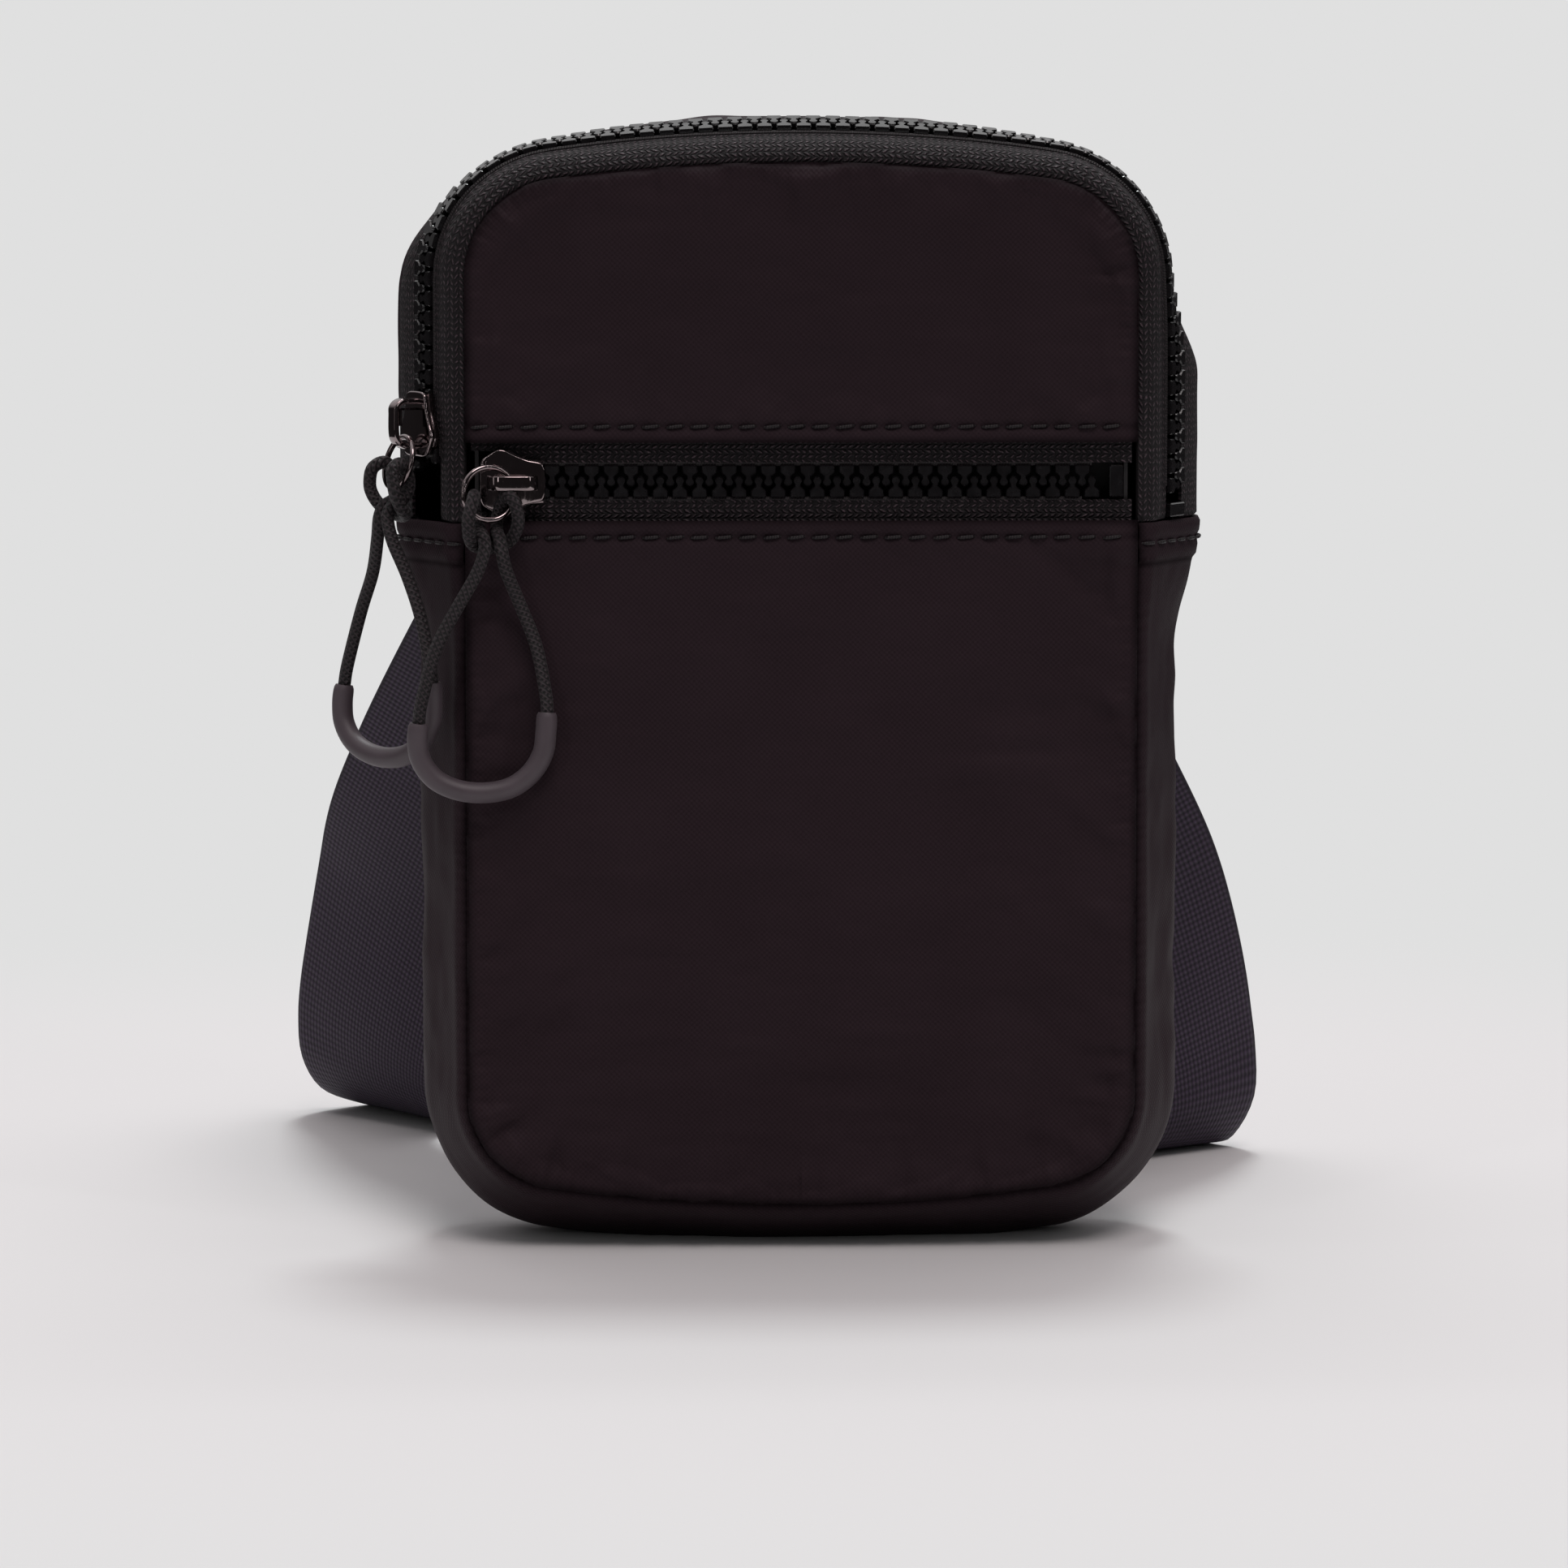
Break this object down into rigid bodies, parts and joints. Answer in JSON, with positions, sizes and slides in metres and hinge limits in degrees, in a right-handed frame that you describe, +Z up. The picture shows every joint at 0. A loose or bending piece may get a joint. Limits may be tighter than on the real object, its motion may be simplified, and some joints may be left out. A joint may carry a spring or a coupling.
{
  "type": "crossbody wallet",
  "caption": "Small padded nylon crossbody wallet with a moulded-tooth zip over the top, a zipped front pocket, cord pulls and a wide webbing strap hanging in a loop behind.",
  "frame": {"origin": "middle of the flat patch under the pouch, on the floor plane", "axes": "+Z up, the pouch's front faces -Y, +X is the right-hand side seen from the front; the strap hangs behind, towards +Y"},
  "size_m": [0.1725, 0.1832, 0.1839],
  "materials": {
    "nylon": "smooth plain-woven nylon, slight sheen",
    "zip_tape": "matte woven polyester",
    "braided_cord": "braided",
    "tooth_plastic": "satin moulded acetal",
    "lining": "matte lining",
    "gunmetal": "polished black nickel",
    "grip_rubber": "matte moulded",
    "webbing": "woven polyester webbing"
  },
  "bodies": {
    "pouch": {"front_upper_panel": "nylon", "front_lower_panel": "nylon", "back_panel": "nylon", "lower_gusset": "nylon", "upper_rear_gusset": "nylon", "strap_tab_left": "nylon", "strap_tab_right": "nylon", "main_tape_front": "zip_tape", "main_tape_rear": "zip_tape", "pocket_tape_upper": "zip_tape", "pocket_tape_lower": "zip_tape", "main_teeth_front": "tooth_plastic", "main_teeth_rear": "tooth_plastic", "pocket_teeth_upper": "tooth_plastic", "pocket_teeth_lower": "tooth_plastic", "main_end_stop": "tooth_plastic", "pocket_end_stop": "tooth_plastic", "pocket_lining": "lining", "card_pocket": "lining", "strap_webbing": "webbing"},
    "main_slider": {"main_slider_body": "gunmetal", "main_slider_crown": "gunmetal", "main_lock_spring": "gunmetal"},
    "main_ring": {"main_pull_ring": "gunmetal"},
    "main_pull": {"main_pull_cord": "braided_cord", "main_pull_grip": "grip_rubber"},
    "pocket_slider": {"pocket_slider_body": "gunmetal", "pocket_slider_crown": "gunmetal", "pocket_lock_spring": "gunmetal"},
    "pocket_ring": {"pocket_pull_ring": "gunmetal"},
    "pocket_pull": {"pocket_pull_cord": "braided_cord", "pocket_pull_grip": "grip_rubber"},
    "strap_ring_l": {"strap_ring_left": "gunmetal"},
    "strap_ring_r": {"strap_ring_right": "gunmetal"},
    "adjuster": {"strap_adjuster": "gunmetal"}
  },
  "joints": [
    {"name": "main_zip_slide", "type": "slide", "parent": "pouch", "child": "main_slider", "axis": [0, 0, 1], "range_m": [0, 0.021], "deforming": ["main_teeth_front", "main_teeth_rear"]},
    {"name": "main_ring_swing", "type": "hinge", "parent": "main_slider", "child": "main_ring", "pos_m": [-0.06398, -0.01047, 0.13207], "axis": [-0.5, 0.866, 0], "range_deg": [0, 100]},
    {"name": "main_pull_swing", "type": "hinge", "parent": "main_ring", "child": "main_pull", "pos_m": [-0.06601, -0.01165, 0.1239], "axis": [-0.5, 0.866, 0], "range_deg": [0, 90], "deforming": ["main_pull_cord"]},
    {"name": "pocket_zip_slide", "type": "slide", "parent": "pouch", "child": "pocket_slider", "axis": [1, 0, 0], "range_m": [0, 0.09], "deforming": ["pocket_teeth_upper", "pocket_teeth_lower"]},
    {"name": "pocket_ring_swing", "type": "hinge", "parent": "pocket_slider", "child": "pocket_ring", "pos_m": [-0.0465, -0.02085, 0.1252], "axis": [-0.4067, 0, 0.9135], "range_deg": [0, 100]},
    {"name": "pocket_pull_swing", "type": "hinge", "parent": "pocket_ring", "child": "pocket_pull", "pos_m": [-0.05004, -0.02268, 0.11934], "axis": [-0.9587, -0.2846, 0], "range_deg": [0, 90], "deforming": ["pocket_pull_cord"]},
    {"name": "strap_ring_left_swing", "type": "hinge", "parent": "pouch", "child": "strap_ring_l", "pos_m": [-0.033, 0.0221, 0.1474], "axis": [1, 0, 0], "range_deg": [-4, 75], "deforming": ["strap_webbing"]},
    {"name": "strap_ring_right_swing", "type": "hinge", "parent": "pouch", "child": "strap_ring_r", "pos_m": [0.033, 0.0221, 0.1474], "axis": [1, 0, 0], "range_deg": [-4, 75], "deforming": ["strap_webbing"]},
    {"name": "strap_adjuster_slide", "type": "slide", "parent": "pouch", "child": "adjuster", "axis": [0.9546, -0.298, -0.0036], "range_m": [-0.01, 0.01], "deforming": ["strap_webbing"]}
  ]
}
